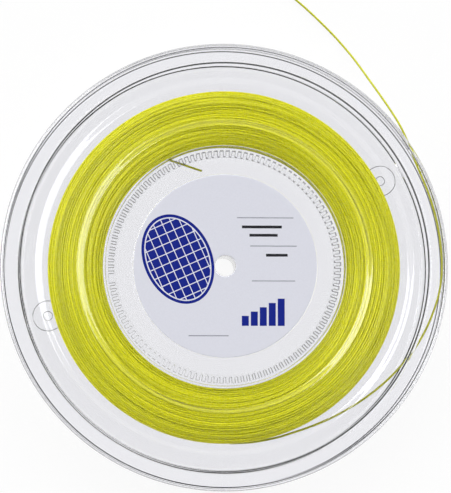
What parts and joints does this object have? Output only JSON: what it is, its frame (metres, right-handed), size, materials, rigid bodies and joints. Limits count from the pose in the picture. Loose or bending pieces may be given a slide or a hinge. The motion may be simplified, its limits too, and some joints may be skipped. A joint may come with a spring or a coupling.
{
  "type": "string reel",
  "caption": "Clear round cassette with a turning spool of yellow racket string, whose free end leaves through the rim; centre bore, paper label on the front.",
  "frame": {"origin": "centre of the underside of the back shell, on the reel's axis", "axes": "+Z along the reel's axis towards the labelled front, +X and +Y across it; the string leaves the rim at 34 degrees from +X towards +Y"},
  "size_m": [0.27, 0.3303, 0.027],
  "materials": {
    "clear_casing": "clear moulded polystyrene, polished",
    "clear_spool": "clear moulded polystyrene, polished",
    "yellow_string": "semi-gloss polyester monofilament",
    "label_paper": "coated paper, semi-matt"
  },
  "bodies": {
    "casing": {"back_shell": "clear_casing", "front_shell": "clear_casing", "string_run": "yellow_string", "string_tail": "yellow_string", "front_label": "label_paper"},
    "spool": {"spool_back_flange": "clear_spool", "spool_front_flange": "clear_spool", "string_winding": "yellow_string", "string_inner_end": "yellow_string"}
  },
  "joints": [
    {"name": "spool_spin", "type": "hinge", "parent": "casing", "child": "spool", "pos_m": [0, 0, 0.012], "axis": [0, 0, 1], "continuous": true}
  ]
}
